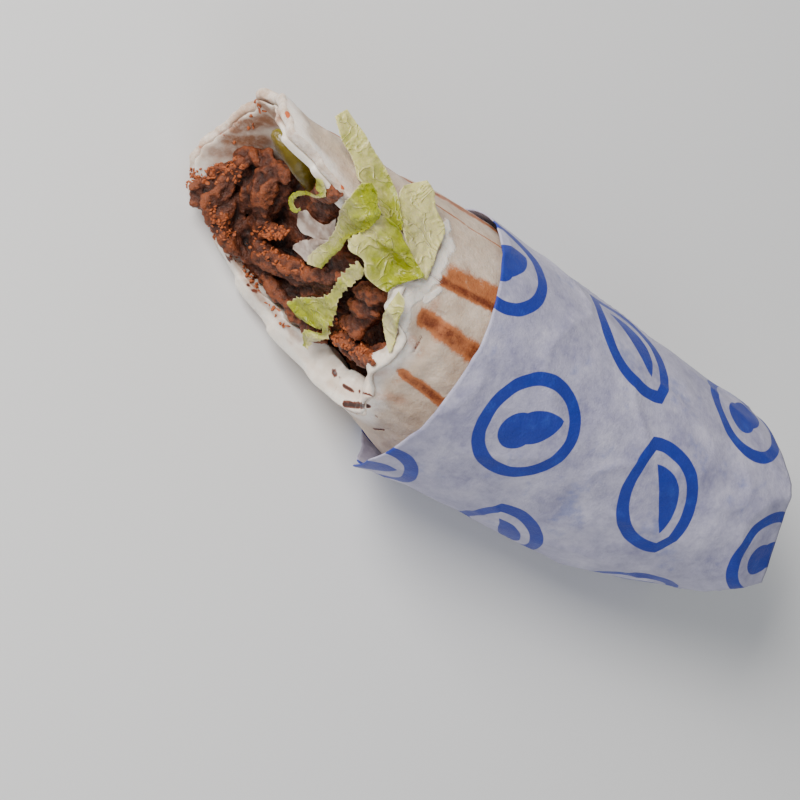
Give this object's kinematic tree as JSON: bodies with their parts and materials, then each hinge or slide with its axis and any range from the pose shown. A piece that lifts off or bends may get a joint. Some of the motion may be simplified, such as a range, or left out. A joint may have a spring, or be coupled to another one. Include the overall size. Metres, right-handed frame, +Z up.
{
  "type": "beef wrap half",
  "caption": "Half of a grilled flatbread roll with beef, lettuce, pickle and garlic sauce, cut slanting and held in a folded paper sleeve.",
  "frame": {"origin": "on the flat underside of the paper sleeve, under its axis, 22 mm behind the paper's open edge", "axes": "+X along the wrap towards the folded paper end, -X towards the cut, +Z up, -Z out of the flat it rests on"},
  "size_m": [0.1657, 0.0599, 0.0576],
  "materials": {
    "printed_paper": null,
    "flatbread": "soft matt wheat bread with brown grill marks",
    "garlic_sauce": "wet creamy sauce",
    "beef": "browned minced and sliced beef, slightly greasy",
    "pickle": "wet olive-green pickle",
    "lettuce": "fresh lettuce leaf with pale ribs",
    "onion": "pale translucent onion"
  },
  "bodies": {
    "root": {"paper_sleeve": "printed_paper", "flatbread": "flatbread", "garlic_sauce": "garlic_sauce", "beef": "beef", "pickle_slice": "pickle", "lettuce_bed": "lettuce", "lettuce_1": "lettuce", "lettuce_2": "lettuce", "lettuce_3": "lettuce", "lettuce_4": "lettuce", "lettuce_5": "lettuce", "lettuce_6": "lettuce", "lettuce_7": "lettuce", "lettuce_8": "lettuce", "onion_1": "onion", "onion_2": "onion"}
  },
  "joints": []
}
